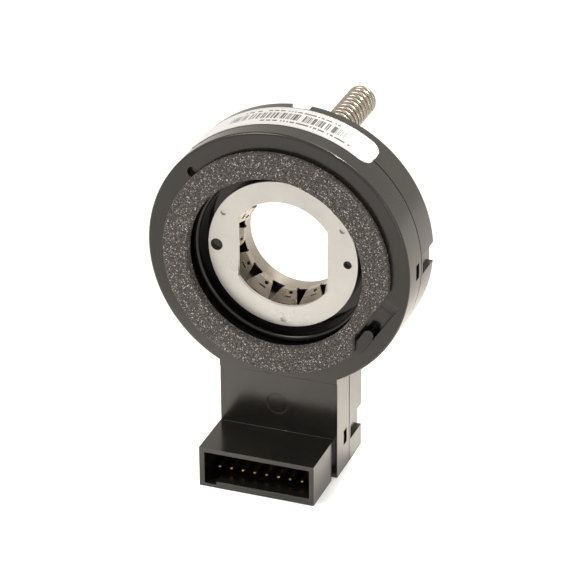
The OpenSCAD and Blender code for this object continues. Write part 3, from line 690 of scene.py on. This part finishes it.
floor_shader.inputs["Emission Color"].default_value = (1, 1, 1, 1)
floor_tree.links.new(floor_glow.outputs["Result"], floor_shader.inputs["Emission Strength"])
floor_mesh.materials.append(floor_paint)
print("floor at z mm:", round(base_z / MM, 2))

# %% [markdown]
# The world is white to the camera and a warm white to reflections. As a lamp it is weaker, so that less
# of the white sticker clips.

# %% World
SURROUND_LIGHT = 0.6
world = bpy.data.worlds.new("white_surround")
scene.world = world
world.use_nodes = True
sky = world.node_tree
sky.nodes.clear()
rays = add_node(sky, "ShaderNodeLightPath")
seen = maths(sky, rays.outputs["Is Camera Ray"], rays.outputs["Is Glossy Ray"], "MAXIMUM")
seen = maths(sky, seen, rays.outputs["Is Transmission Ray"], "MAXIMUM")
strength = add_node(sky, "ShaderNodeMapRange", Value=seen, To_Min=SURROUND_LIGHT, To_Max=1.0)
sky_tint = add_node(sky, "ShaderNodeMix", {"data_type": "RGBA"}, Factor=rays.outputs["Is Glossy Ray"])
sky_tint.inputs[6].default_value = (1, 1, 1, 1)
sky_tint.inputs[7].default_value = linear(WARM_WHITE)
glow = add_node(sky, "ShaderNodeBackground", Color=sky_tint.outputs[2], Strength=strength.outputs["Result"])
add_node(sky, "ShaderNodeOutputWorld", Surface=glow.outputs[0])
print("surround, strength as a lamp:", SURROUND_LIGHT)

# %% [markdown]
# Two soft boxes shape the object: one high at the left front, one from behind at the right. A narrow
# strip at the right draws the thin bright line on the ring's rounded rim. The last two lamps have
# a grid, so each lights a patch of the floor beside the object. The glossy black faces mirror those
# patches: black plastic has almost no colour of its own, and shows its form by what it reflects.

# %% Lamps
LAMP_HEX = "#fffdf9"


def direction(azimuth, elevation):
    """Unit vector away from the object: azimuth from the front towards the right, both in degrees."""
    a, e = math.radians(azimuth), math.radians(elevation)
    return Vector((math.sin(a) * math.cos(e), -math.cos(a) * math.cos(e), math.sin(e)))


def soft_lamp(name, azimuth, elevation, distance, size, power, aim_mm=(0, 0, 0), spread=180):
    lamp = bpy.data.lights.new(name, "AREA")
    lamp.shape = "RECTANGLE"
    lamp.size, lamp.size_y = size
    lamp.energy = power
    lamp.spread = math.radians(spread)
    lamp.color = linear(LAMP_HEX)[:3]
    back = direction(azimuth, elevation)
    holder = bpy.data.objects.new(name, lamp)
    holder.location = Vector(aim_mm) * MM + back * distance
    holder.rotation_mode = "QUATERNION"
    holder.rotation_quaternion = (-back).to_track_quat("-Z", "Y")
    scene.collection.objects.link(holder)


base_mm = base_z / MM
soft_lamp("soft_box_left", -50, 50, 0.8, (0.36, 0.36), 2.0)
soft_lamp("soft_box_back", 150, 55, 0.8, (0.6, 0.4), 2.0)
soft_lamp("strip_right", 59, 12, 0.8, (0.04, 0.4), 0.5)
soft_lamp("grid_floor_right", 110, 75, 0.2, (0.02, 0.02), 0.021, aim_mm=(22, 10, base_mm), spread=32)
soft_lamp("grid_floor_front", -30, 75, 0.2, (0.02, 0.02), 0.010, aim_mm=(-30, -40, base_mm), spread=26)
print("lamps:", len(bpy.data.lights))

# %% [markdown]
# The camera is a long lens, as product photographers use for small parts. Its angle, distance and
# lens come from matching the ring, the plate, the connector and the pins with the photograph.

# %% Camera
AZIMUTH, ELEVATION, ROLL = 20.671, 27.133, -0.407
DISTANCE_MM = 591.96
TARGET_MM = (0.0, 5.0, -8.0)
AIM_RIGHT_MM, AIM_UP_MM = 0.149, -0.380
FRAME_PX = 576
FOCAL_PX = 3015.8
RIM_ROUND_MM = 0.6  # TARGET_MM is counted from this far behind the ring's face
SENSOR_MM = 36
NEAR_CLIP, FAR_CLIP = 0.01, 20  # metres
camera_data = bpy.data.cameras.new("long_lens")
camera_data.sensor_width = SENSOR_MM
camera_data.lens = FOCAL_PX / FRAME_PX * SENSOR_MM
camera_data.clip_start, camera_data.clip_end = NEAR_CLIP, FAR_CLIP
camera = bpy.data.objects.new("long_lens", camera_data)
scene.collection.objects.link(camera)
scene.camera = camera
back = direction(AZIMUTH, ELEVATION)
right = direction(AZIMUTH + 90, 0)
roll = math.radians(ROLL)
up = back.cross(right)
right, up = right * math.cos(roll) + up * math.sin(roll), up * math.cos(roll) - right * math.sin(roll)
target = Vector(TARGET_MM) * MM + Vector((0, face_y + RIM_ROUND_MM * MM, 0))
target += (right * AIM_RIGHT_MM + up * AIM_UP_MM) * MM
camera.matrix_world = Matrix.Translation(target + back * DISTANCE_MM * MM) @ Matrix(
    (right, up, back)).transposed().to_4x4()
print("camera lens mm:", round(camera_data.lens, 1))

# %% [markdown]
# The view transform is Standard, so that a colour renders about as it is written.

# %% View
scene.view_settings.view_transform = "Standard"
